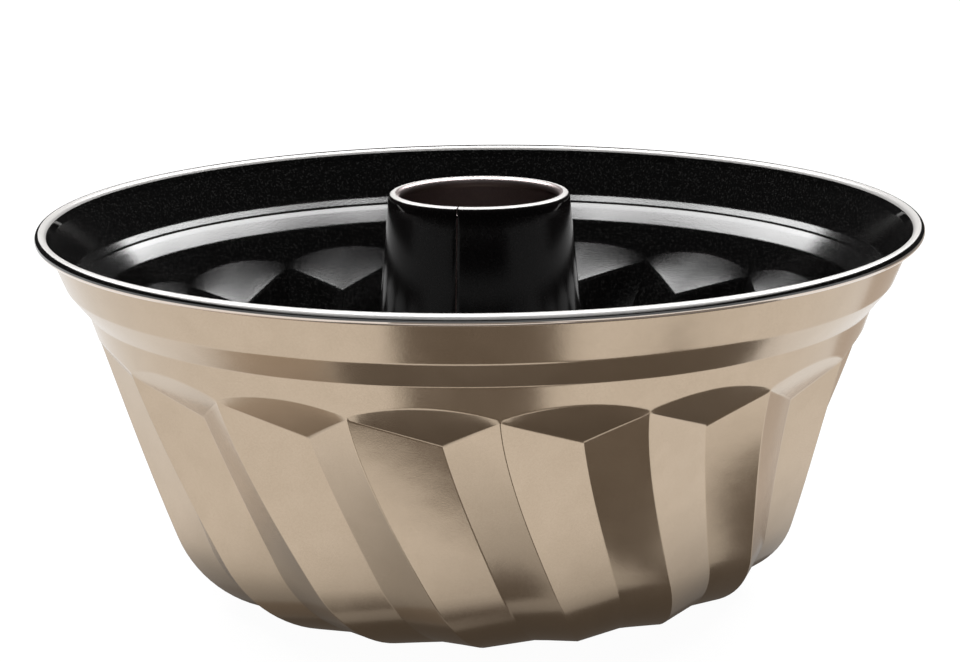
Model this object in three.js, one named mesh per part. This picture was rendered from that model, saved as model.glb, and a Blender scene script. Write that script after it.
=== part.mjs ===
// A fluted ring-cake pan in two pieces: a bowl drawn from one sheet of steel, with a curled rim, a stepped
// ledge and twisted flutes, and a chimney rolled from the same sheet and clinched into the bowl's collar.
// Millimetres, +Z up, the front at -Y, the origin at the centre of the flat ring that the pan stands on.

import * as THREE from 'three';

const rad = THREE.MathUtils.degToRad;

// Sheet, and the play left between the two pieces where they are clinched together
const SHEET = 0.6;
const CLINCH_GAP = 0.3;

// Rim: a curl rolled outwards above a flared band
const RIM_DIAMETER = 250;
const RIM_HEIGHT = 103.8; // from the base to the centre of the curl
const CURL_DIAMETER = 3.3;
const CURL_WRAP = rad(290);

// Stepped ledge under the flare: each inset and drop runs from the corner before it
const FLARE_INSET = 6.5;
const FLARE_DROP = 12.9;
const LEDGE_INSET = 6;
const LEDGE_DROP = 7.3;
const LEDGE_FILLET = 3;
const CREASE_FROM_SHOULDER = 3;
const CREASE_DEPTH = 0.3;

// Tapered wall and the round corner into the base
const WALL_TAPER = rad(18.5);
const CORNER_RADIUS = 30;

// Flutes: V grooves under arched roofs, all lengths along the wall
const FLUTE_COUNT = 17;
const FLUTE_DEPTH = 5.5;
const FLUTE_TOP = 6.4; // from the ledge to the crown of each arch
const ARCH_RISE = 3.7; // crown above the cusps between two arches
const CUSP_EDGE = 0.8; // short upright edge that an arch and its groove share at a cusp
const ROOF_LENGTH = 11.4; // from the cusps to the point of the V
const FLUTE_TWIST = rad(23.6);
const TWIST_POWER = 1.55; // the twist gathers towards the base
const FLUTE_SKEW = rad(1.4); // the left face of a groove is wider than the right one
const FIRST_RIDGE = rad(-87.5);

// Collar: the base turns up around the chimney
const COLLAR_BEND = 17;
const COLLAR_HEIGHT = 8;
const LEAST_BASE_RING = 5; // flat ring that the bend always leaves to stand on

// Chimney: a tapered tube, open along its seam, with its top edge rolled inwards
const CHIMNEY_RISE = 7.7; // above the top of the rim
const CHIMNEY_DIAMETER = 51.4; // outside, just under the lip
const CHIMNEY_TAPER = rad(5.2);
const LIP_DIAMETER = 3.2;
const LIP_WRAP = rad(280);
const FOOT_SWEEP = rad(45); // flared foot, pressed against the underside of the bend
const LOCK_BEAD_HEIGHT = 1.2; // bead that holds the chimney down on the collar
const LOCK_BEAD_LENGTH = 4;
const SEAM_ANGLE = rad(-104);
const SEAM_GAP = 0.4;

// Facets
const FLUTE_COLUMNS = 4;
const CHIMNEY_COLUMNS = 48;
const CURL_STEPS = 8;
const FILLET_STEPS = 2;
const WALL_STEPS = 4;
const CORNER_STEPS = 5;
const BEND_STEPS = 4;
const BEAD_STEPS = 4;
const FOOT_STEPS = 3;

// Coats: champagne on the oven side of the sheet, black non-stick on the side that meets the cake
const CHAMPAGNE = new THREE.Color(0xb9a68f);
const NON_STICK = new THREE.Color(0x1b1a1b);

// Meridian helpers, in the plane of radius and height

/** Unit vector on the right of a direction of travel. */
const rightOf = (direction) => new THREE.Vector2(direction.y, -direction.x);

/** Unit vector from one point to another. */
const towards = (from, to) => to.clone().sub(from).normalize();

/** Circular arc around a centre, as a curve. */
function arc(centre, radius, start, end, clockwise) {
  return new THREE.EllipseCurve(centre.x, centre.y, radius, radius, start, end, clockwise);
}

/** Arc that rounds the corner between two straight runs. */
function roundedCorner(before, corner, after, radius) {
  const arrival = towards(before, corner);
  const departure = towards(corner, after);
  const turn = Math.acos(arrival.dot(departure));
  const clockwise = arrival.cross(departure) < 0;
  const side = clockwise ? 1 : -1;
  const start = corner.clone().addScaledVector(arrival, -radius * Math.tan(turn / 2));
  const centre = start.clone().addScaledVector(rightOf(arrival), side * radius);
  const startAngle = start.sub(centre).angle();
  return arc(centre, radius, startAngle, startAngle - side * turn, clockwise);
}

/** Points along a curve, each with the unit vector through the sheet to its second face. */
function stations(curve, steps) {
  return Array.from({ length: steps + 1 }, (_, step) => ({
    point: curve.getPoint(step / steps),
    through: rightOf(curve.getTangent(step / steps)),
  }));
}

/** Point of a station on the first face of the sheet (depth 0) or further through it. */
function below(station, depth) {
  return station.point.clone().addScaledVector(station.through, depth);
}

/** Point of the meridian turned to an angle around the pan's axis. */
function turned(point, angle) {
  return new THREE.Vector3(point.x * Math.cos(angle), point.x * Math.sin(angle), point.y);
}

// Chimney and collar lines, which set where the base ring starts

const curlRadius = CURL_DIAMETER / 2;
const lipRadius = LIP_DIAMETER / 2;
const chimneyTop = RIM_HEIGHT + curlRadius + CHIMNEY_RISE;
const lipCentre = new THREE.Vector2(CHIMNEY_DIAMETER / 2 - lipRadius, chimneyTop - lipRadius);
const outOfChimney = new THREE.Vector2(Math.cos(CHIMNEY_TAPER), Math.sin(CHIMNEY_TAPER));
const downChimney = new THREE.Vector2(Math.sin(CHIMNEY_TAPER), -Math.cos(CHIMNEY_TAPER));
const lipTangent = lipCentre.clone().addScaledVector(outOfChimney, lipRadius);

const collarLine = lipTangent.clone().addScaledVector(outOfChimney, CLINCH_GAP);
const collarCorner = collarLine.clone().addScaledVector(downChimney, collarLine.y / Math.cos(CHIMNEY_TAPER));

// Bowl meridian: corners of the outside face, from the rim to the collar

const curlCentre = new THREE.Vector2(RIM_DIAMETER / 2 - curlRadius, RIM_HEIGHT);
const shoulder = new THREE.Vector2(curlCentre.x - FLARE_INSET, curlCentre.y - FLARE_DROP);
const ledge = new THREE.Vector2(shoulder.x - LEDGE_INSET, shoulder.y - LEDGE_DROP);
const wallFoot = new THREE.Vector2(ledge.x - ledge.y * Math.tan(WALL_TAPER), 0);

const curlCore = curlRadius - SHEET;
const toCurl = curlCentre.clone().sub(shoulder);
const flareAngle = toCurl.angle() + Math.asin(curlCore / toCurl.length());
const curlEnd = flareAngle + Math.PI / 2;
const curl = arc(curlCentre, curlCore, curlEnd - CURL_WRAP, curlEnd, false);
const flareTop = curl.getPoint(1);

const shoulderArc = roundedCorner(flareTop, shoulder, ledge, LEDGE_FILLET);
const ledgeArc = roundedCorner(shoulder, ledge, wallFoot, LEDGE_FILLET);
const cornerArc = roundedCorner(ledge, wallFoot, collarCorner, CORNER_RADIUS);
const cornerEnd = cornerArc.getPoint(1);

const bendRoom = cornerEnd.x - collarCorner.x - LEAST_BASE_RING;
const bendTangent = Math.tan(Math.PI / 4 - CHIMNEY_TAPER / 2);
const collarBend = Math.min(COLLAR_BEND, bendRoom / bendTangent);
const bendArc = roundedCorner(wallFoot, collarCorner, collarLine, collarBend);
const bendStart = bendArc.getPoint(0);
const collarTop = bendArc.getPoint(1).addScaledVector(downChimney, -COLLAR_HEIGHT);

const downLedge = towards(shoulder, ledge);
const crease = {
  point: shoulder.clone().addScaledVector(downLedge, CREASE_FROM_SHOULDER),
  through: rightOf(downLedge),
};
crease.point.addScaledVector(crease.through, -CREASE_DEPTH);

// Run of the flutes: down the wall, round the corner and halfway across the flat of the base

const ledgeEnd = ledgeArc.getPoint(1);
const cornerStart = cornerArc.getPoint(0);
const fluteRunout = new THREE.Vector2((cornerEnd.x + bendStart.x) / 2, 0);
const wall = new THREE.CurvePath();
wall.add(new THREE.LineCurve(ledgeEnd, cornerStart));
wall.add(cornerArc);
wall.add(new THREE.LineCurve(cornerEnd, fluteRunout));
const wallLength = wall.getLength();
const straightLength = ledgeEnd.distanceTo(cornerStart);
const cornerLength = cornerArc.getLength();

const crownAt = FLUTE_TOP - ledge.distanceTo(ledgeEnd);
const cuspAt = crownAt + ARCH_RISE;
const veePointAt = cuspAt + ROOF_LENGTH;
const pitch = (2 * Math.PI) / FLUTE_COUNT;
const columns = FLUTE_COUNT * FLUTE_COLUMNS;

/** Angle of a column where the bowl is plain. */
const plainAngle = (column) => FIRST_RIDGE + (column * pitch) / FLUTE_COLUMNS;

/** Turn of the flutes at a length down the wall. */
function twistAt(along) {
  const share = Math.max(0, along - cuspAt) / (wallLength - cuspAt);
  return FLUTE_TWIST * share ** TWIST_POWER;
}

/** Share of the full depth that a groove has at a length down the wall, down to nothing at its end. */
function grooveShare(along) {
  return 1 - (Math.max(0, along - veePointAt) / (wallLength - veePointAt)) ** 2;
}

/** Station of the wall at a length down it. */
function wallStation(along) {
  const share = along / wallLength;
  return { point: wall.getPoint(share), through: rightOf(wall.getTangent(share)) };
}

/** Point on the ridge line to the left of a groove. */
function ridgePoint(groove, along, depth) {
  return turned(below(wallStation(along), depth), FIRST_RIDGE + groove * pitch + twistAt(along));
}

/** Point on the line at the bottom of a groove. */
function valleyPoint(groove, along, depth) {
  const share = grooveShare(along);
  const angle = FIRST_RIDGE + (groove + 0.5) * pitch + twistAt(along) + share * FLUTE_SKEW;
  return turned(below(wallStation(along), depth + share * FLUTE_DEPTH), angle);
}

/** Groove, nearest ridge and share of the way from that ridge to the groove's bottom, for a column. */
function placeInFlute(column) {
  const groove = Math.floor(column / FLUTE_COLUMNS);
  const across = (2 * (column - groove * FLUTE_COLUMNS)) / FLUTE_COLUMNS;
  const ridge = Math.round(groove + across / 2);
  return { groove, ridge, inwards: 1 - Math.abs(1 - across) };
}

/** Row of the plain bowl at a station, with the turn that its columns already have. */
const plainRow = (station, turn) => (column, depth) => turned(below(station, depth), plainAngle(column) + turn);

/** Row along the arches, which lie on the plain wall. */
function archRow(column, depth) {
  const { inwards } = placeInFlute(column);
  const along = crownAt + ARCH_RISE * (1 - inwards) ** 2;
  return turned(below(wallStation(along), depth), plainAngle(column));
}

/** Row down the flat faces of the grooves: share 0 is the V under the roofs, 1 the start of the corner. */
const faceRow = (share) => (column, depth) => {
  const { groove, ridge, inwards } = placeInFlute(column);
  const top = THREE.MathUtils.lerp(cuspAt + CUSP_EDGE, veePointAt, inwards);
  const along = THREE.MathUtils.lerp(top, straightLength, share);
  const onRidge = ridgePoint(ridge, share > 0 ? along : cuspAt + CUSP_EDGE, depth);
  const inValley = valleyPoint(groove, share > 0 ? along : veePointAt, depth);
  return onRidge.lerp(inValley, inwards);
};

/** Row round the corner and out across the base, at one length for all columns. */
const runoutRow = (along) => (column, depth) => {
  const { groove, ridge, inwards } = placeInFlute(column);
  return ridgePoint(ridge, along, depth).lerp(valleyPoint(groove, along, depth), inwards);
};

/** Whole numbers from 1 up to a count. */
const countTo = (count) => Array.from({ length: count }, (_, index) => index + 1);

const rimStations = [
  ...stations(curl, CURL_STEPS),
  ...stations(shoulderArc, FILLET_STEPS),
  crease,
  ...stations(ledgeArc, FILLET_STEPS),
];
const collarStations = [
  ...stations(bendArc, BEND_STEPS),
  { point: collarTop, through: outOfChimney },
];
const bowlRows = [
  ...rimStations.map((station) => plainRow(station, 0)),
  archRow,
  faceRow(0),
  ...countTo(WALL_STEPS).map((step) => faceRow(step / WALL_STEPS)),
  ...countTo(CORNER_STEPS).map((step) => runoutRow(straightLength + (cornerLength * step) / CORNER_STEPS)),
  runoutRow(wallLength),
  ...collarStations.map((station) => plainRow(station, FLUTE_TWIST)),
];

// Chimney meridian: outside face from the lip's rolled edge to the flared foot

const lip = arc(lipCentre, lipRadius, CHIMNEY_TAPER + LIP_WRAP, CHIMNEY_TAPER, true);
const footStart = Math.PI + CHIMNEY_TAPER;
const bendCentre = bendStart.clone().add(new THREE.Vector2(0, collarBend));
const foot = arc(bendCentre, collarBend + CLINCH_GAP, footStart, footStart + FOOT_SWEEP, false);
const beadStart = collarTop
  .clone()
  .addScaledVector(outOfChimney, -CLINCH_GAP)
  .addScaledVector(downChimney, -CLINCH_GAP - LOCK_BEAD_LENGTH);

/** Station of the lock bead: a smooth swell of the wall just above the collar's edge. */
function beadStation(step) {
  const share = step / BEAD_STEPS;
  const swell = (LOCK_BEAD_HEIGHT * (1 - Math.cos(2 * Math.PI * share))) / 2;
  const point = beadStart
    .clone()
    .addScaledVector(downChimney, LOCK_BEAD_LENGTH * share)
    .addScaledVector(outOfChimney, swell);
  return { point, through: rightOf(downChimney) };
}

const chimneyStations = [
  ...stations(lip, CURL_STEPS),
  ...[0, ...countTo(BEAD_STEPS)].map(beadStation),
  ...stations(foot, FOOT_STEPS),
];

/** Row of the chimney at a station, open by the seam's gap. */
const chimneyRow = (station) => (column, depth) => {
  const point = below(station, depth);
  const halfGap = SEAM_GAP / 2 / point.x;
  const angle = THREE.MathUtils.lerp(halfGap, 2 * Math.PI - halfGap, column / CHIMNEY_COLUMNS);
  return turned(point, SEAM_ANGLE + angle);
};

// Sheet bodies: rows on the first face, then back along the second face

/** Closed body of sheet from rows of points, with a coat on each face, closed round or open at a seam. */
function sheetBody(rows, columnCount, closedRound, firstCoat, secondCoat) {
  const loop = [
    ...rows.map((row) => ({ row, depth: 0, coat: firstCoat })),
    ...rows.map((row) => ({ row, depth: SHEET, coat: secondCoat })).reverse(),
  ];
  const width = closedRound ? columnCount : columnCount + 1;
  const positions = [];
  const colours = [];
  for (const { row, depth, coat } of loop) {
    for (let column = 0; column < width; column += 1) {
      positions.push(...row(column, depth).toArray());
      colours.push(...coat.toArray());
    }
  }
  const triangles = [];
  const vertex = (line, column) => (line % loop.length) * width + (column % width);
  for (let line = 0; line < loop.length; line += 1) {
    for (let column = 0; column < columnCount; column += 1) {
      const [a, b] = [vertex(line, column), vertex(line + 1, column)];
      const [c, d] = [vertex(line + 1, column + 1), vertex(line, column + 1)];
      triangles.push(a, b, d, b, c, d);
    }
  }
  if (!closedRound) {
    triangles.push(...seamFaces(loop, vertex, columnCount));
  }
  const geometry = new THREE.BufferGeometry();
  geometry.setAttribute('position', new THREE.Float32BufferAttribute(positions, 3));
  geometry.setAttribute('color', new THREE.Float32BufferAttribute(colours, 3));
  geometry.setIndex(triangles);
  geometry.computeVertexNormals();
  return geometry;
}

/** Triangles of the two cut edges along an open seam. */
function seamFaces(loop, vertex, lastColumn) {
  const section = loop.map(({ row, depth }) => {
    const point = row(0, depth);
    return new THREE.Vector2(Math.hypot(point.x, point.y), point.z);
  });
  return THREE.ShapeUtils.triangulateShape(section, []).flatMap(([a, b, c]) => [
    ...[a, b, c].map((line) => vertex(line, 0)),
    ...[a, c, b].map((line) => vertex(line, lastColumn)),
  ]);
}

/** Named mesh of one piece, coated on both faces. */
function piece(name, geometry, roughness, metalness) {
  const material = new THREE.MeshStandardMaterial({ vertexColors: true, roughness, metalness });
  const mesh = new THREE.Mesh(geometry, material);
  mesh.name = name;
  return mesh;
}

const pan = new THREE.Group();
pan.name = 'fluted_ring_cake_pan';
pan.add(piece('fluted_bowl', sheetBody(bowlRows, columns, true, CHAMPAGNE, NON_STICK), 0.3, 0.6));
const chimneyRows = chimneyStations.map(chimneyRow);
pan.add(piece('chimney', sheetBody(chimneyRows, CHIMNEY_COLUMNS, false, NON_STICK, CHAMPAGNE), 0.45, 0.3));

export default pan;
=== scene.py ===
"""Looks of a fluted ring-cake pan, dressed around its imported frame.

The pan has two pieces of coated sheet steel: a bowl with a curled rim, a stepped ledge and twisted
flutes, and a chimney clinched into the bowl's collar. Both are pressed here from finely divided
blanks. The pan's sizes are in millimetres and become metres when a sheet is formed. The studio's
are in metres. +Z is up and the front is at -Y.
"""

import logging
import math
from dataclasses import dataclass
from enum import Enum
from typing import Any, Callable

import bmesh
import bpy
from mathutils import Matrix, Vector


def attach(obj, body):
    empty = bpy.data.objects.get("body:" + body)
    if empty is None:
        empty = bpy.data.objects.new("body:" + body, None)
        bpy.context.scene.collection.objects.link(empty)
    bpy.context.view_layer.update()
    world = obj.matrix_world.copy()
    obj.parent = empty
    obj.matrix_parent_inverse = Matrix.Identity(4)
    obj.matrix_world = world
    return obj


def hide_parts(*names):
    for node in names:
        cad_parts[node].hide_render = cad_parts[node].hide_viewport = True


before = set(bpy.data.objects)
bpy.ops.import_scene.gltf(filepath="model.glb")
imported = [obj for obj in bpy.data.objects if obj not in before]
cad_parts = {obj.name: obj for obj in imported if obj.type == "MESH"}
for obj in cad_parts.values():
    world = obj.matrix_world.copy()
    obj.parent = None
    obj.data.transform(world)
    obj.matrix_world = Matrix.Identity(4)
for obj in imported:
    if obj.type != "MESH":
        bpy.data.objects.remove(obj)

MM = 0.001
PHOTO_WIDTH = 960
SENSOR_WIDTH = 36.0
THICKNESS_GROUP = "sheet"
OPEN_BLANK_ANGLE = 1.0
NOISE_ROUGHNESS = 0.55
MATT_ROUGHNESS = 0.9
WARM_TINT = (1.0, 0.87, 0.75)

log = logging.getLogger("ring_cake_pan")

Colour = tuple[float, float, float]
Row = Callable[[int], Vector]
Plan = tuple[tuple[float, float], ...]


class Coat(Enum):
    """Material slot of a sheet's face: the side it is formed from, and the side through it."""

    FORMED_SIDE = 0
    THROUGH_SIDE = 1


class Value:
    """A shader socket that takes part in Python expressions."""

    def __init__(self, graph: "Graph", socket: bpy.types.NodeSocket) -> None:
        """Wraps an output socket of a graph."""
        self.graph = graph
        self.socket = socket

    def _math(self, operation: str, first: Any, second: Any) -> "Value":
        """Adds a Math node for two operands."""
        return self.graph.node("ShaderNodeMath", {"operation": operation}, {0: first, 1: second})

    def __add__(self, other: Any) -> "Value":
        """Sum."""
        return self._math("ADD", self, other)

    def __radd__(self, other: Any) -> "Value":
        """Sum with the value on the right."""
        return self._math("ADD", other, self)

    def __sub__(self, other: Any) -> "Value":
        """Difference."""
        return self._math("SUBTRACT", self, other)

    def __rsub__(self, other: Any) -> "Value":
        """Difference with the value on the right."""
        return self._math("SUBTRACT", other, self)

    def __mul__(self, other: Any) -> "Value":
        """Product."""
        return self._math("MULTIPLY", self, other)

    def __rmul__(self, other: Any) -> "Value":
        """Product with the value on the right."""
        return self._math("MULTIPLY", other, self)

    def __truediv__(self, other: Any) -> "Value":
        """Quotient."""
        return self._math("DIVIDE", self, other)

    def __rtruediv__(self, other: Any) -> "Value":
        """Quotient with the value on the right."""
        return self._math("DIVIDE", other, self)

    def step(self, low: float, high: float) -> "Value":
        """Share of the way from a low to a high value, smooth and held at both ends."""
        return self.graph.node(
            "ShaderNodeMapRange",
            {"interpolation_type": "SMOOTHSTEP"},
            {"Value": self, "From Min": low, "From Max": high},
        )


class Graph:
    """Nodes of one material or world, added one at a time."""

    def __init__(self, tree: bpy.types.NodeTree) -> None:
        """Empties a node tree to build on."""
        self.tree = tree
        tree.nodes.clear()

    def node(
        self,
        kind: str,
        settings: dict[str, Any] | None = None,
        inputs: dict[str | int, Any] | None = None,
        output: str | int = 0,
    ) -> Value:
        """Adds a node of any type.

        Args:
            kind: Type of the node.
            settings: Properties of the node, set first.
            inputs: Values or links of its sockets, by name or number.
            output: Socket to return.

        Returns:
            The chosen output socket.
        """
        node = self.tree.nodes.new(kind)
        for name, setting in (settings or {}).items():
            setattr(node, name, setting)
        for name, given in (inputs or {}).items():
            if isinstance(given, Value):
                self.tree.links.new(given.socket, node.inputs[name])
            else:
                node.inputs[name].default_value = given
        return Value(self, node.outputs[output]) if node.outputs else Value(self, None)

    def mix(self, share: Any, first: Any, second: Any) -> Value:
        """Colour between two colours."""
        ends = [(*end, 1.0) if isinstance(end, tuple) else end for end in (first, second)]
        inputs = {"Factor": share, 6: ends[0], 7: ends[1]}
        return self.node("ShaderNodeMix", {"data_type": "RGBA"}, inputs, 2)

    def noise(self, where: Value, grain_mm: float, detail: float) -> Value:
        """Noise whose grains are about as wide as a length."""
        inputs = {
            "Vector": where,
            "Scale": 1 / (grain_mm * MM),
            "Detail": detail,
            "Roughness": NOISE_ROUGHNESS,
        }
        return self.node("ShaderNodeTexNoise", None, inputs)

    def bump(self, height_mm: Value) -> Value:
        """Normal of a surface with a relief."""
        inputs = {"Height": height_mm, "Distance": MM, "Strength": 1.0}
        return self.node("ShaderNodeBump", None, inputs)


def new_graph(name: str) -> tuple[bpy.types.Material, Graph]:
    """Material with an empty node tree, and its graph."""
    material = bpy.data.materials.new(name)
    material.use_nodes = True
    return material, Graph(material.node_tree)


@dataclass(frozen=True)
class ChampagneCoat:
    """Glossy metallic lacquer on the oven side of the sheet."""

    name: str = "champagne_lacquer"
    light: Colour = (0.535, 0.428, 0.319)
    deep: Colour = (0.487, 0.387, 0.284)
    gloss: float = 0.13
    flake_mm: float = 0.45
    flake_height_mm: float = 0.006
    wave_mm: float = 9.0
    wave_height_mm: float = 0.04
    flake_detail: float = 2.0
    wave_detail: float = 1.0
    flake_share: float = 0.6
    tone_band: tuple[float, float] = (0.3, 0.7)
    flake_roughness: float = 0.06
    wave_roughness: float = 0.03

    def material(self) -> bpy.types.Material:
        """Builds the lacquer: metal flake, and faint waves left by the drawing of the sheet."""
        material, graph = new_graph(self.name)
        where = graph.node("ShaderNodeTexCoord", output="Object")
        flake = graph.noise(where, self.flake_mm, self.flake_detail)
        wave = graph.noise(where, self.wave_mm, self.wave_detail)
        flake_tone, wave_tone = flake.step(*self.tone_band), wave.step(*self.tone_band)
        tone = self.flake_share * flake_tone + (1 - self.flake_share) * wave_tone
        relief = self.flake_height_mm * flake + self.wave_height_mm * wave
        roughness = self.gloss + self.flake_roughness * flake + self.wave_roughness * wave
        shader = graph.node(
            "ShaderNodeBsdfPrincipled",
            None,
            {
                "Base Color": graph.mix(tone, self.deep, self.light),
                "Metallic": 1.0,
                "Roughness": roughness,
                "Normal": graph.bump(relief),
            },
        )
        graph.node("ShaderNodeOutputMaterial", None, {"Surface": shader})
        return material


@dataclass(frozen=True)
class NonStickCoat:
    """Satin black non-stick coat with a fine grain, on the side that meets the cake.

    It is smoother where the sheet's edge is rolled. Along the top there it carries a painted
    highlight:
    pale colour, a little metallic and rougher, between two distances from an axis a little in front
    of the pan's own, so the highlight is wider at the front. Where the rim turns under, champagne
    overspray shows on it.
    """

    name: str
    rolled_from_mm: float
    # Painted highlight on the rolled edge: the height it starts from, its band of distances, and
    # how far forward its axis lies.
    highlight_from_mm: float
    highlight_between_mm: tuple[float, float]
    highlight_forward_mm: float = 0.0
    overspray_below_mm: float = 0.0
    overspray_beyond_mm: float = 123.0
    black: Colour = (0.0008, 0.0007, 0.0007)
    fleck: Colour = (0.016, 0.0156, 0.015)
    # Pale colour of the painted highlight on the rolled edge's top.
    highlight_colour: Colour = (0.42, 0.41, 0.4)
    overspray: Colour = (0.74, 0.64, 0.56)
    gloss: float = 0.1
    fleck_mm: float = 0.6
    grain_mm: float = 0.45
    grain_height_mm: float = 0.015
    specular: float = 1.0
    fade_mm: float = 0.25
    fleck_detail: float = 2.0
    grain_detail: float = 3.0
    fleck_band: tuple[float, float] = (0.54, 0.68)
    grain_roughness: float = 0.1
    grain_lost_when_rolled: float = 0.8
    # Metal and roughness within the painted highlight's band.
    highlight_metal: float = 0.2
    highlight_roughness: float = 0.3
    overspray_metal: float = 0.9

    def material(self) -> bpy.types.Material:
        """Builds the coat: pale flecks in black, grain in its shine, and a painted highlight on the
        rolled edges.
        """
        material, graph = new_graph(self.name)
        where = graph.node("ShaderNodeTexCoord", output="Object")
        height = graph.node("ShaderNodeSeparateXYZ", None, {"Vector": where}, "Z") / MM
        radius = self._from_axis(graph, where, 0.0)
        # Distance from an axis moved towards the front, so the painted highlight sits wider at the
        # front.
        highlight_radius = self._from_axis(graph, where, self.highlight_forward_mm)
        fade = self.fade_mm
        inner, outer = self.highlight_between_mm
        grain = graph.noise(where, self.grain_mm, self.grain_detail)
        flecks = graph.noise(where, self.fleck_mm, self.fleck_detail)
        rolled = height.step(self.rolled_from_mm, self.rolled_from_mm + fade)
        open_grain = 1 - self.grain_lost_when_rolled * rolled
        # Painted highlight: a pale band along the top of the rolled edge, between two distances
        # from the forward axis.
        painted_highlight = height.step(self.highlight_from_mm, self.highlight_from_mm + fade)
        painted_highlight = painted_highlight * highlight_radius.step(inner - fade, inner) * (1 - highlight_radius.step(outer, outer + fade))
        under = 1 - height.step(self.overspray_below_mm - fade, self.overspray_below_mm)
        beyond = radius.step(self.overspray_beyond_mm, self.overspray_beyond_mm + fade)
        sprayed = under * beyond
        coat = graph.mix(flecks.step(*self.fleck_band), self.black, self.fleck)
        # Lays the painted highlight's pale colour over the coat.
        highlighted = graph.mix(painted_highlight, coat, self.highlight_colour)
        shine = (self.gloss + self.grain_roughness * grain) * open_grain
        shader = graph.node(
            "ShaderNodeBsdfPrincipled",
            None,
            {
                "Base Color": graph.mix(sprayed, highlighted, self.overspray),
                "Metallic": self.highlight_metal * painted_highlight + self.overspray_metal * sprayed,
                "Roughness": shine + self.highlight_roughness * painted_highlight,
                "Specular IOR Level": self.specular,
                "Normal": graph.bump(self.grain_height_mm * grain * open_grain),
            },
        )
        graph.node("ShaderNodeOutputMaterial", None, {"Surface": shader})
        return material

    @staticmethod
    def _from_axis(graph: Graph, where: Value, forward_mm: float) -> Value:
        """Distance in millimetres from an upright axis in front of the pan's own."""
        inputs = {0: where, 1: (1.0, 1.0, 0.0), 2: (0.0, forward_mm * MM, 0.0)}
        kind = "ShaderNodeVectorMath"
        level = graph.node(kind, {"operation": "MULTIPLY_ADD"}, inputs, "Vector")
        return graph.node(kind, {"operation": "LENGTH"}, {0: level}, "Value") / MM


@dataclass(frozen=True)
class StudioPaint:
    """Even glow of the floor, softboxes and cards, under a share of matt paint.

    A fade gives the distances from the axis between which the paint thins out to nothing.
    """

    name: str
    glow: Colour
    matt: float = 0.0
    fade: tuple[float, float] | None = None

    def material(self) -> bpy.types.Material:
        """Builds the finish."""
        material, graph = new_graph(self.name)
        inputs: dict[str | int, Any] = {
            "Base Color": (self.matt, self.matt, self.matt, 1.0),
            "Roughness": MATT_ROUGHNESS,
            "Specular IOR Level": 0.0,
            "Emission Color": (*self.glow, 1.0),
            "Emission Strength": 1.0,
        }
        if self.fade:
            where = graph.node("ShaderNodeTexCoord", output="Object")
            length = {"operation": "LENGTH"}
            distance = graph.node("ShaderNodeVectorMath", length, {0: where}, "Value")
            inputs["Alpha"] = 1 - distance.step(*self.fade)
        shader = graph.node("ShaderNodeBsdfPrincipled", None, inputs)
        graph.node("ShaderNodeOutputMaterial", None, {"Surface": shader})
        return material


def meridian(radius: float, height: float) -> Vector:
    """Point in the plane of radius and height."""
    return Vector((radius, height))


def at_angle(length: float, angle: float) -> Vector:
    """Vector in the meridian plane from its length and angle."""
    return meridian(length * math.cos(angle), length * math.sin(angle))


def right_of(direction: Vector) -> Vector:
    """Unit vector on the right of a direction of travel."""
    return meridian(direction.y, -direction.x)


def turned(point: Vector, angle: float) -> Vector:
    """Point of the meridian, in millimetres, turned round the axis and given in metres."""
    return Vector((point.x * math.cos(angle), point.x * math.sin(angle), point.y)) * MM


def arc(centre: Vector, radius: float, start: float, sweep: float, steps: int) -> list[Vector]:
    """Points along a circular arc, both ends included."""
    return [centre + at_angle(radius, start + sweep * step / steps) for step in range(steps + 1)]


def shares(steps: int) -> list[float]:
    """Even shares from just above 0 up to 1."""
    return [(step + 1) / steps for step in range(steps)]


@dataclass(frozen=True)
class Corner:
    """Round corner between two straight runs of a meridian."""

    centre: Vector
    radius: float
    start: float
    turn: float

    @classmethod
    def between(cls, before: Vector, corner: Vector, after: Vector, radius: float) -> "Corner":
        """Rounds the corner where two runs meet.

        Args:
            before: Point on the first run.
            corner: Point where the runs meet.
            after: Point on the second run.
            radius: Radius of the corner.

        Returns:
            The corner, tangent to both runs.
        """
        arrival = (corner - before).normalized()
        departure = (after - corner).normalized()
        cross = arrival.x * departure.y - arrival.y * departure.x
        turn = math.atan2(cross, arrival.dot(departure))
        first = corner - arrival * radius * math.tan(abs(turn) / 2)
        centre = first - right_of(arrival) * math.copysign(radius, turn)
        spoke = first - centre
        return cls(centre, radius, math.atan2(spoke.y, spoke.x), turn)

    def at(self, share: float) -> Vector:
        """Point at a share of the turn."""
        return self.centre + at_angle(self.radius, self.start + self.turn * share)

    def inward(self, share: float) -> Vector:
        """Unit vector through the sheet, on the right of the travel, at a share of the turn."""
        return at_angle(math.copysign(1.0, self.turn), self.start + self.turn * share)

    def points(self, steps: int) -> list[Vector]:
        """Points along the corner, both ends included."""
        return [self.at(step / steps) for step in range(steps + 1)]

    @property
    def length(self) -> float:
        """Length of the corner."""
        return self.radius * abs(self.turn)


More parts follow.
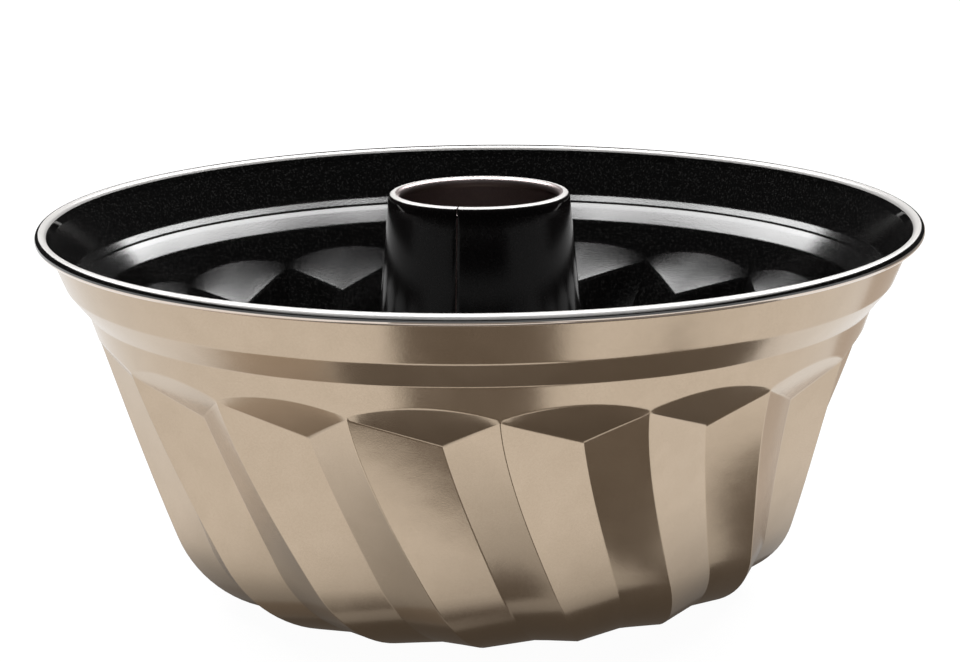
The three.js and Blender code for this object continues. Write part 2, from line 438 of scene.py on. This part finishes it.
class SheetBlank:
    """A flat-pattern grid of sheet that is pressed into a piece, row by row."""

    def __init__(
        self,
        name: str,
        rows: list[Row],
        columns: int,
        closed: bool,
        thinned: dict[int, float] | None = None,
    ) -> None:
        """Takes the rows to press the blank into.

        Args:
            name: Name of the piece.
            rows: For each row, the place of any of its columns.
            columns: Faces along a row.
            closed: Whether the last column joins the first.
            thinned: Rows where the sheet is thinner, and the share of its thickness kept there.
        """
        self.name = name
        self.rows = rows
        self.columns = columns
        self.closed = closed
        self.thinned = thinned or {}

    def press(self, outward_row: int) -> bpy.types.Object:
        """Spins a blank, presses it to its rows and turns its formed side outwards.

        Args:
            outward_row: Row whose faces look away from the axis on the formed side.

        Returns:
            The piece as an open surface.
        """
        mesh = bmesh.new()
        line = [mesh.verts.new((1.0, 0.0, float(row))) for row in range(len(self.rows))]
        edges = [mesh.edges.new(pair) for pair in zip(line, line[1:])]
        full = 2 * math.pi if self.closed else OPEN_BLANK_ANGLE
        bmesh.ops.spin(
            mesh,
            geom=line + edges,
            cent=(0, 0, 0),
            axis=(0, 0, 1),
            angle=full,
            steps=self.columns,
            use_merge=self.closed,
        )
        kept = mesh.verts.layers.deform.verify()
        for vertex in mesh.verts:
            angle = math.atan2(vertex.co.y, vertex.co.x) % (2 * math.pi)
            column = round(angle * self.columns / full)
            if self.closed:
                column %= self.columns
            row = round(vertex.co.z)
            vertex[kept][0] = self.thinned.get(row, 1.0)
            vertex.co = self.rows[row](column)
        bmesh.ops.recalc_face_normals(mesh, faces=mesh.faces)
        sample = self.rows[outward_row](0)
        nearest = min(
            mesh.faces, key=lambda face: (face.calc_center_median() - sample).length_squared
        )
        if nearest.normal.dot(Vector((sample.x, sample.y, 0.0))) < 0:
            bmesh.ops.reverse_faces(mesh, faces=mesh.faces)
        for face in mesh.faces:
            face.smooth = True
        return self._finish(mesh)

    def _finish(self, mesh: bmesh.types.BMesh) -> bpy.types.Object:
        """Makes a mesh an object in the scene."""
        data = bpy.data.meshes.new(self.name)
        mesh.to_mesh(data)
        mesh.free()
        piece = bpy.data.objects.new(self.name, data)
        piece.vertex_groups.new(name=THICKNESS_GROUP)
        bpy.context.scene.collection.objects.link(piece)
        return piece


def give_thickness(piece: bpy.types.Object, sheet: float, edge: Coat) -> None:
    """Gives a pressed surface its sheet, away from the formed side, with the other coat there.

    Args:
        piece: Pressed surface.
        sheet: Thickness of the sheet.
        edge: Coat on its cut edges.
    """
    modifier = piece.modifiers.new("sheet", "SOLIDIFY")
    modifier.thickness = sheet * MM
    modifier.offset = -1.0
    modifier.use_even_offset = True
    modifier.vertex_group = THICKNESS_GROUP
    modifier.material_offset = Coat.THROUGH_SIDE.value
    modifier.material_offset_rim = edge.value


@dataclass
class Chimney:
    """Tapered tube rolled from a strip of sheet, with a lip rolled inwards and an open seam."""

    sheet: float = 0.6
    top: float = 113.15
    diameter: float = 51.4
    taper: float = math.radians(5.2)
    lip_diameter: float = 3.2
    lip_wrap: float = math.radians(280)
    bore_from_crest: float = 0.5
    lock_bead_height: float = 1.2
    lock_bead_length: float = 4.0
    foot_sweep: float = math.radians(45)
    seam_angle: float = math.radians(-104)
    seam_gap: float = 0.4
    clinch_gap: float = 0.3
    columns: int = 180
    lip_steps: int = 28
    wall_steps: int = 18
    bead_steps: int = 12
    foot_steps: int = 10

    def __post_init__(self) -> None:
        """Works out the lines that the bowl's collar follows."""
        radius = self.lip_diameter / 2
        self.lip_centre = meridian(self.diameter / 2 - radius, self.top - radius)
        self.out = at_angle(1.0, self.taper)
        self.down = right_of(self.out)
        self.lip_tangent = self.lip_centre + self.out * radius
        self.collar_line = self.lip_tangent + self.out * self.clinch_gap

    def build(self, collar_top: Vector, bend: Corner) -> bpy.types.Object:
        """Presses the tube.

        Args:
            collar_top: Upper edge of the collar that the lock bead sits on.
            bend: Bend of the base that the foot lies under.

        Returns:
            The tube.
        """
        lip_start = self.taper + self.lip_wrap
        lip = arc(
            self.lip_centre, self.lip_diameter / 2, lip_start, -self.lip_wrap, self.lip_steps
        )
        bead_start = collar_top - self.out * self.clinch_gap
        bead_start = bead_start - self.down * (self.clinch_gap + self.lock_bead_length)
        wall = [lip[-1].lerp(bead_start, share) for share in shares(self.wall_steps)]
        bead = [self._bead(bead_start, share) for share in shares(self.bead_steps)]
        foot_radius = bend.radius + self.clinch_gap
        foot_start = math.pi + self.taper
        foot = arc(bend.centre, foot_radius, foot_start, self.foot_sweep, self.foot_steps)
        profile = lip + wall + bead + foot
        rows = [self._row(point) for point in profile]
        blank = SheetBlank("chimney_tube", rows, self.columns, closed=False)
        piece = blank.press(outward_row=len(lip) + len(wall) // 2)
        give_thickness(piece, self.sheet, Coat.FORMED_SIDE)
        return piece

    def _bead(self, start: Vector, share: float) -> Vector:
        """Point of the bead that holds the tube down, a smooth swell of its wall."""
        swell = self.lock_bead_height * (1 - math.cos(2 * math.pi * share)) / 2
        return start + self.down * self.lock_bead_length * share + self.out * swell

    def _row(self, point: Vector) -> Row:
        """Row round the tube, open by the seam's gap."""
        half_gap = self.seam_gap / 2 / point.x
        span = 2 * math.pi - 2 * half_gap

        def place(column: int) -> Vector:
            """Place of a column."""
            return turned(point, self.seam_angle + half_gap + span * column / self.columns)

        return place

    def dress(
        self, piece: bpy.types.Object, outside: bpy.types.Material, bore: bpy.types.Material
    ) -> None:
        """Coats the tube, the bore up to the crest of the lip, and lets it stand for its node."""
        piece.data.materials.append(outside)
        piece.data.materials.append(bore)
        crest = self.lip_centre.x - self.bore_from_crest
        for face in piece.data.polygons:
            if face.center.xy.length < crest * MM:
                face.material_index = Coat.THROUGH_SIDE.value
        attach(piece, "root")
        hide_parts("chimney")


@dataclass
class FlutedBowl:
    """Bowl drawn from one sheet: rim, flare, stepped ledge, flutes, base ring and collar.

    The crease's shape pairs places across it, in half widths, with shares of its depth. Rows of a
    part of the wall are given as shares of its length.
    """

    chimney: Chimney
    sheet: float = 0.6
    rim_diameter: float = 250.0
    rim_height: float = 103.8
    curl_diameter: float = 3.3
    curl_wrap: float = math.radians(290)
    flare_inset: float = 6.5
    flare_drop: float = 12.9
    ledge_inset: float = 6.0
    ledge_drop: float = 7.3
    shoulder_fillet: float = 3.0
    ledge_fillet: float = 1.6
    crease_from_shoulder: float = 3.0
    crease_depth: float = 0.06
    crease_half: float = 0.33
    crease_shape: Plan = (
        (-2, 0), (-1, 0), (-0.5, 0.5), (0, 1), (1, 0.9), (3, 0.5), (5, 0.1), (6, 0)
    )
    row_beside_fillet: float = 0.3
    wall_taper: float = math.radians(18.5)
    corner_radius: float = 30.0
    flute_count: int = 17
    flute_depth: float = 5.5
    flute_top: float = 6.4
    arch_rise: float = 3.7
    cusp_edge: float = 0.8
    roof_length: float = 11.4
    flute_twist: float = math.radians(23.6)
    twist_power: float = 1.55
    flute_skew: float = math.radians(1.4)
    first_ridge: float = math.radians(-87.5)
    collar_bend: float = 17.0
    collar_height: float = 8.0
    flute_columns: int = 20
    edge_gather: float = 0.9
    roof_sag: float = 0.15
    curl_steps: int = 26
    fillet_steps: int = 4
    flare_rows: tuple[float, ...] = (0.05, 0.35, 0.65, 0.95)
    band_rows: tuple[float, ...] = (0.06, 0.35, 0.7, 0.93, 1.0)
    roof_rows: tuple[float, ...] = (0.05, 0.2, 0.4, 0.6, 0.8, 0.95, 1.0)
    face_top_rows: tuple[float, ...] = (0.012, 0.05, 0.12)
    face_steps: int = 14
    corner_steps: int = 16
    base_steps: int = 3
    bend_steps: int = 12

    def __post_init__(self) -> None:
        """Works out the meridian's corners and the run of the flutes."""
        self.thinned: dict[int, float] = {}
        self.shoulder_row = 0
        curl_radius = self.curl_diameter / 2
        self.curl_centre = meridian(self.rim_diameter / 2 - curl_radius, self.rim_height)
        self.shoulder = self.curl_centre - meridian(self.flare_inset, self.flare_drop)
        self.ledge = self.shoulder - meridian(self.ledge_inset, self.ledge_drop)
        wall_foot = meridian(self.ledge.x - self.ledge.y * math.tan(self.wall_taper), 0.0)
        tube = self.chimney
        collar_corner = tube.collar_line + tube.down * (tube.collar_line.y / math.cos(tube.taper))

        to_curl = self.curl_centre - self.shoulder
        self.curl_core = curl_radius - self.sheet
        lean = math.asin(self.curl_core / to_curl.length)
        self.curl_end = math.atan2(to_curl.y, to_curl.x) + lean + math.pi / 2
        self.flare_start = self.curl_centre + at_angle(self.curl_core, self.curl_end)

        rounded = Corner.between
        self.shoulder_corner = rounded(
            self.flare_start, self.shoulder, self.ledge, self.shoulder_fillet
        )
        self.ledge_corner = rounded(self.shoulder, self.ledge, wall_foot, self.ledge_fillet)
        self.base_corner = rounded(self.ledge, wall_foot, collar_corner, self.corner_radius)
        self.bend = rounded(wall_foot, collar_corner, tube.collar_line, self.collar_bend)
        self.collar_top = self.bend.at(1.0) - tube.down * self.collar_height

        self.wall_top = self.ledge_corner.at(1.0)
        self.straight = (self.base_corner.at(0.0) - self.wall_top).length
        flat = (self.base_corner.at(1.0).x - self.bend.at(0.0).x) / 2
        self.wall_length = self.straight + self.base_corner.length + flat
        self.crown_at = self.flute_top - (self.ledge - self.wall_top).length
        self.cusp_at = self.crown_at + self.arch_rise
        self.vee_at = self.cusp_at + self.roof_length
        self.pitch = 2 * math.pi / self.flute_count
        self.columns = self.flute_count * self.flute_columns

    def wall_at(self, along: float) -> tuple[Vector, Vector]:
        """Point of the wall's line and the unit vector through the sheet, at a length down it."""
        if along <= self.straight:
            down = (self.base_corner.at(0.0) - self.wall_top).normalized()
            return self.wall_top + down * along, right_of(down)
        beyond = along - self.straight
        if beyond <= self.base_corner.length:
            share = beyond / self.base_corner.length
            return self.base_corner.at(share), self.base_corner.inward(share)
        end = self.base_corner.at(1.0)
        return end - meridian(beyond - self.base_corner.length, 0.0), meridian(0.0, 1.0)

    def twist_at(self, along: float) -> float:
        """Turn of the flutes at a length down the wall."""
        share = max(0.0, along - self.cusp_at) / (self.wall_length - self.cusp_at)
        return self.flute_twist * share**self.twist_power

    def groove_share(self, along: float) -> float:
        """Share of the full depth that a groove has at a length down the wall."""
        return 1 - (max(0.0, along - self.vee_at) / (self.wall_length - self.vee_at)) ** 2

    def across(self, column: int) -> tuple[int, float]:
        """Groove of a column, and its way from a ridge (0) over the bottom (1) to the next (2)."""
        groove, step = divmod(column, self.flute_columns)
        way = 2 * step / self.flute_columns
        return groove, way - self.edge_gather / (2 * math.pi) * math.sin(2 * math.pi * way)

    def plain_angle(self, column: int) -> float:
        """Angle of a column where the bowl is plain."""
        groove, way = self.across(column)
        return self.first_ridge + (groove + way / 2) * self.pitch

    def ridge_point(self, ridge: int, along: float) -> Vector:
        """Point on a ridge line."""
        angle = self.first_ridge + ridge * self.pitch + self.twist_at(along)
        return turned(self.wall_at(along)[0], angle)

    def valley_point(self, groove: int, along: float) -> Vector:
        """Point on the line at the bottom of a groove."""
        share = self.groove_share(along)
        point, inward = self.wall_at(along)
        angle = self.first_ridge + (groove + 0.5) * self.pitch + self.twist_at(along)
        angle += share * self.flute_skew
        return turned(point + inward * share * self.flute_depth, angle)

    def fluted_point(self, column: int, along: float) -> Vector:
        """Point on the flat face of a groove, or on the ridge or the bottom beside it."""
        groove, way = self.across(column)
        ridge = groove if way <= 1 else groove + 1
        inwards = 1 - abs(1 - way)
        return self.ridge_point(ridge, along).lerp(self.valley_point(groove, along), inwards)

    def plain_row(self, point: Vector, turn: float) -> Row:
        """Row of the plain bowl, with the turn that its columns have."""
        return lambda column: turned(point, self.plain_angle(column) + turn)

    def arch_along(self, column: int) -> float:
        """Length down the wall of a flute's arch."""
        _, way = self.across(column)
        return self.crown_at + self.arch_rise * (1 - way) ** 2

    def band_row(self, share: float) -> Row:
        """Row of the plain band between the ledge and the arches."""

        def place(column: int) -> Vector:
            """Place of a column."""
            point, _ = self.wall_at(share * self.arch_along(column))
            return turned(point, self.plain_angle(column))

        return place

    def face_row(self, share: float) -> Row:
        """Row down the faces of the grooves, from the V under the roofs to the corner's start."""

        def place(column: int) -> Vector:
            """Place of a column."""
            _, way = self.across(column)
            top = self.cusp_at + self.cusp_edge
            top += (self.vee_at - top) * (1 - abs(1 - way))
            return self.fluted_point(column, top + (self.straight - top) * share)

        return place

    def roof_row(self, share: float) -> Row:
        """Row of the roofs between the arches and the V."""
        arch = self.band_row(1.0)
        vee = self.face_row(0.0)

        def place(column: int) -> Vector:
            """Place of a column, sagging a little outwards and down between its ends."""
            _, way = self.across(column)
            flat = arch(column).lerp(vee(column), share)
            outwards = Vector((flat.x, flat.y, 0.0)).normalized() - Vector((0, 0, 1))
            open_share = 1 - (1 - way) ** 2
            sag = self.roof_sag * 2 * share * (1 - share) * open_share
            return flat + outwards * (sag * MM)

        return place

    def run_row(self, along: float) -> Row:
        """Row round the corner and out across the base."""
        return lambda column: self.fluted_point(column, along)

    def rim_points(self) -> list[Vector]:
        """Meridian from the curl's rolled edge to the foot of the ledge."""
        curl_start = self.curl_end - self.curl_wrap
        curl = arc(self.curl_centre, self.curl_core, curl_start, self.curl_wrap, self.curl_steps)
        shoulder = self.shoulder_corner.points(self.fillet_steps)
        flare = [curl[-1].lerp(shoulder[0], share) for share in self.flare_rows]
        down = (self.ledge - self.shoulder).normalized()
        above = curl + flare + shoulder
        self.shoulder_row = len(above) - 1
        above.append(shoulder[-1] + down * self.row_beside_fillet)
        crease = []
        for row, (side, depth) in enumerate(self.crease_shape, len(above)):
            below = self.crease_from_shoulder + side * self.crease_half
            crease.append(self.shoulder + down * below)
            self.thinned[row] = 1 - depth * self.crease_depth / self.sheet
        ledge = self.ledge_corner.points(self.fillet_steps)
        return above + crease + [ledge[0] - down * self.row_beside_fillet] + ledge

    def build(self) -> bpy.types.Object:
        """Presses the bowl."""
        rows = [self.plain_row(point, 0.0) for point in self.rim_points()]
        rows += [self.band_row(share) for share in self.band_rows]
        rows += [self.roof_row(share) for share in self.roof_rows]
        top = self.face_top_rows[-1]
        rows += [self.face_row(share) for share in self.face_top_rows]
        rows += [self.face_row(top + (1 - top) * share) for share in shares(self.face_steps)]
        corner = self.base_corner.length
        base = self.wall_length - self.straight - corner
        rows += [
            self.run_row(self.straight + corner * share) for share in shares(self.corner_steps)
        ]
        rows += [
            self.run_row(self.straight + corner + base * share) for share in shares(self.base_steps)
        ]
        collar = self.bend.points(self.bend_steps) + [self.collar_top]
        rows += [self.plain_row(point, self.flute_twist) for point in collar]
        blank = SheetBlank("fluted_bowl_shell", rows, self.columns, True, self.thinned)
        piece = blank.press(outward_row=self.shoulder_row)
        give_thickness(piece, self.sheet, Coat.THROUGH_SIDE)
        return piece

    def dress(
        self, piece: bpy.types.Object, outside: bpy.types.Material, inside: bpy.types.Material
    ) -> None:
        """Coats the bowl and lets it stand for its node."""
        piece.data.materials.append(outside)
        piece.data.materials.append(inside)
        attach(piece, "root")
        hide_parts("fluted_bowl")


@dataclass(frozen=True)
class Viewpoint:
    """Camera at the photograph's angle, in millimetres and pixels of the photograph."""

    elevation: float = math.radians(11.044)
    distance: float = 904.2
    pivot_height: float = 103.84
    aim_height: float = 72.63
    aim_right: float = -0.17
    focal_pixels: float = 3192.8
    roll: float = math.radians(-0.609)
    near_clip: float = 10.0

    def build(self) -> None:
        """Sets up the camera."""
        data = bpy.data.cameras.new("viewpoint")
        data.sensor_fit = "HORIZONTAL"
        data.sensor_width = SENSOR_WIDTH
        data.lens = self.focal_pixels * SENSOR_WIDTH / PHOTO_WIDTH
        data.clip_start = self.near_clip * MM
        back = Vector((0, -math.cos(self.elevation), math.sin(self.elevation)))
        place = (back * self.distance + Vector((0, 0, self.pivot_height))) * MM
        aim = Vector((self.aim_right, 0, self.aim_height)) * MM
        forward = (aim - place).normalized()
        right = forward.cross(Vector((0, 0, 1))).normalized()
        up = right.cross(forward)
        tilt_right = right * math.cos(self.roll) + up * math.sin(self.roll)
        tilt_up = up * math.cos(self.roll) - right * math.sin(self.roll)
        axes = Matrix((tilt_right, tilt_up, -forward)).transposed()
        camera = bpy.data.objects.new("viewpoint", data)
        camera.matrix_world = Matrix.Translation(place) @ axes.to_4x4()
        bpy.context.scene.collection.objects.link(camera)
        bpy.context.scene.camera = camera


class Sight(Enum):
    """What sees a sheet of the studio: the camera, mirrored light, scattered light and shadows."""

    ALL_BUT_REFLECTIONS = (True, False, True, True)
    REFLECTIONS = (False, True, False, False)
    ALL_BUT_CAMERA = (False, True, True, False)


@dataclass(frozen=True)
class StudioSheet:
    """Level sheet of the studio, its corners given in plan."""

    name: str
    corners: Plan
    height: float
    paint: StudioPaint
    sight: Sight = Sight.REFLECTIONS

    def build(self) -> None:
        """Lays the sheet, which isn't part of the object."""
        mesh = bmesh.new()
        mesh.faces.new([mesh.verts.new((*corner, self.height)) for corner in self.corners])
        data = bpy.data.meshes.new(self.name)
        mesh.to_mesh(data)
        mesh.free()
        data.materials.append(self.paint.material())
        sheet = bpy.data.objects.new(self.name, data)
        bpy.context.scene.collection.objects.link(sheet)
        camera, glossy, diffuse, shadow = self.sight.value
        sheet.visible_camera, sheet.visible_glossy = camera, glossy
        sheet.visible_diffuse, sheet.visible_shadow = diffuse, shadow


def square(half: float) -> Plan:
    """Corners of a square in plan."""
    return (-half, -half), (half, -half), (half, half), (-half, half)


def scaled(corners: Plan, factor: float) -> Plan:
    """Corners in plan, moved away from the axis by a factor."""
    return tuple((x * factor, y * factor) for x, y in corners)


def warm_grey(level: float) -> Colour:
    """Glow of a dark or grey card, or of the shade round the foot."""
    red, green, blue = WARM_TINT
    return red * level, green * level, blue * level


def white(level: float) -> Colour:
    """Glow of a lit sheet."""
    return level, level, level


@dataclass
class Studio:
    """Glowing pale floor and two softboxes, and a sheet with cards that only reflections see.

    Reflections don't see the floor. They see a shade round the pan's foot and, far below, a lit
    sheet with dark and grey cards on it. Corners of the cards are given for a sheet one metre
    below the pan, and those of the softboxes for a height of one metre.
    """

    backdrop: float = 1.1
    surroundings: float = 0.02
    floor: StudioSheet = StudioSheet(
        name="floor",
        corners=square(4.0),
        height=0.0,
        paint=StudioPaint("floor_glow", glow=white(0.97), matt=0.06),
        sight=Sight.ALL_BUT_REFLECTIONS,
    )
    foot_shade: StudioSheet = StudioSheet(
        name="foot_shade",
        corners=square(0.15),
        height=-0.0005,
        paint=StudioPaint("foot_shade", glow=warm_grey(0.1), fade=(0.06, 0.145)),
    )
    depth: float = 3.0
    card_step: float = 0.002
    sheet_half: float = 30.0
    sheet_glow: Colour = white(1.04)
    dark_cards: tuple[Plan, ...] = (
        ((-0.48, -1.0), (0.30, -1.12), (0.37, -0.42), (-0.32, -0.42)),
        (
            (-0.36, -0.12), (0.26, -0.12), (0.28, -0.42), (0.82, -0.30),
            (0.98, 0.15), (0.55, 0.90), (0.45, 6.0), (-0.40, 6.0),
        ),
    )
    dark_glow: Colour = warm_grey(0.2)
    grey_cards: tuple[Plan, ...] = (
        ((-0.62, 0.10), (-0.38, -0.02), (-0.38, 1.40), (-0.66, 1.05)),
        ((0.95, 1.70), (6.0, 1.50), (9.0, 9.0), (1.2, 9.0)),
    )
    grey_glow: Colour = warm_grey(0.65)
    light_height: float = 2.0
    light_glow: Colour = white(8.8)
    softboxes: tuple[Plan, ...] = (
        (
            (0.0, -0.29), (0.39, -0.22), (0.80, 0.13), (1.04, 0.54),
            (1.32, 1.50), (0.62, 1.50), (0.30, 0.64), (0.0, 0.45),
        ),
        (
            (0.0, -0.29), (0.0, 0.45), (-0.30, 0.64), (-0.55, 1.20),
            (-1.24, 1.20), (-1.06, 0.54), (-0.82, 0.14), (-0.43, -0.25),
        ),
    )

    def build(self) -> None:
        """Lays the floor and the cards, hangs the softboxes and paints the surroundings."""
        self.floor.build()
        self.foot_shade.build()
        low, step = -self.depth, self.card_step
        lit = StudioPaint("lit_glow", self.sheet_glow)
        StudioSheet("lit_sheet", square(self.sheet_half), low - step, lit).build()
        for tone, glow, cards, height in (
            ("grey", self.grey_glow, self.grey_cards, low),
            ("dark", self.dark_glow, self.dark_cards, low + step),
        ):
            paint = StudioPaint(f"{tone}_glow", glow)
            for number, plan in enumerate(cards):
                corners = scaled(plan, self.depth)
                StudioSheet(f"{tone}_card_{number}", corners, height, paint).build()
        paint = StudioPaint("softbox_glow", self.light_glow)
        for number, plan in enumerate(self.softboxes):
            corners = scaled(plan, self.light_height)
            StudioSheet(
                f"softbox_{number}", corners, self.light_height, paint, Sight.ALL_BUT_CAMERA
            ).build()
        self._surroundings()

    def _surroundings(self) -> None:
        """Paints the surroundings: a white backdrop to look at, and a dim room to mirror."""
        world = bpy.data.worlds.new("surroundings")
        world.use_nodes = True
        graph = Graph(world.node_tree)
        seen = graph.node("ShaderNodeLightPath", output="Is Camera Ray")
        strength = self.surroundings + (self.backdrop - self.surroundings) * seen
        inputs = {"Color": (1, 1, 1, 1), "Strength": strength}
        background = graph.node("ShaderNodeBackground", None, inputs)
        graph.node("ShaderNodeOutputWorld", None, {"Surface": background})
        bpy.context.scene.world = world


def main() -> None:
    """Builds the pan and its studio, and reports each piece."""
    logging.basicConfig(level=logging.INFO, format="%(name)s: %(message)s")
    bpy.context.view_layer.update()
    champagne = ChampagneCoat().material()
    bore = ChampagneCoat(
        name="bore_lacquer", light=(0.44, 0.376, 0.37), deep=(0.36, 0.308, 0.302), gloss=0.3
    ).material()
    bowl_coat = NonStickCoat(
        name="bowl_non_stick",
        rolled_from_mm=101.9,
        # The bowl's rim carries a painted highlight from this height, between these distances,
        # moved towards the front.
        highlight_from_mm=104.05,
        highlight_between_mm=(120.5, 123.65),
        highlight_forward_mm=1.2,
        overspray_below_mm=103.5,
    ).material()
    chimney_coat = NonStickCoat(
        name="chimney_non_stick",
        rolled_from_mm=110.0,
        # The chimney's lip carries a painted highlight along its crest.
        highlight_from_mm=112.6,
        highlight_between_mm=(20.0, 26.0),
        black=(0.004, 0.0034, 0.0034),
        fleck=(0.007, 0.006, 0.006),
        grain_height_mm=0.006,
        specular=0.14,
    ).material()

    chimney = Chimney()
    bowl = FlutedBowl(chimney)
    shell = bowl.build()
    bowl.dress(shell, champagne, bowl_coat)
    log.info("pressed %s, %d faces", shell.name, len(shell.data.polygons))
    tube = chimney.build(bowl.collar_top, bowl.bend)
    chimney.dress(tube, chimney_coat, bore)
    log.info("pressed %s, %d faces", tube.name, len(tube.data.polygons))

    Studio().build()
    Viewpoint().build()
    bpy.context.scene.view_settings.view_transform = "Standard"


if __name__ == "__main__":
    main()
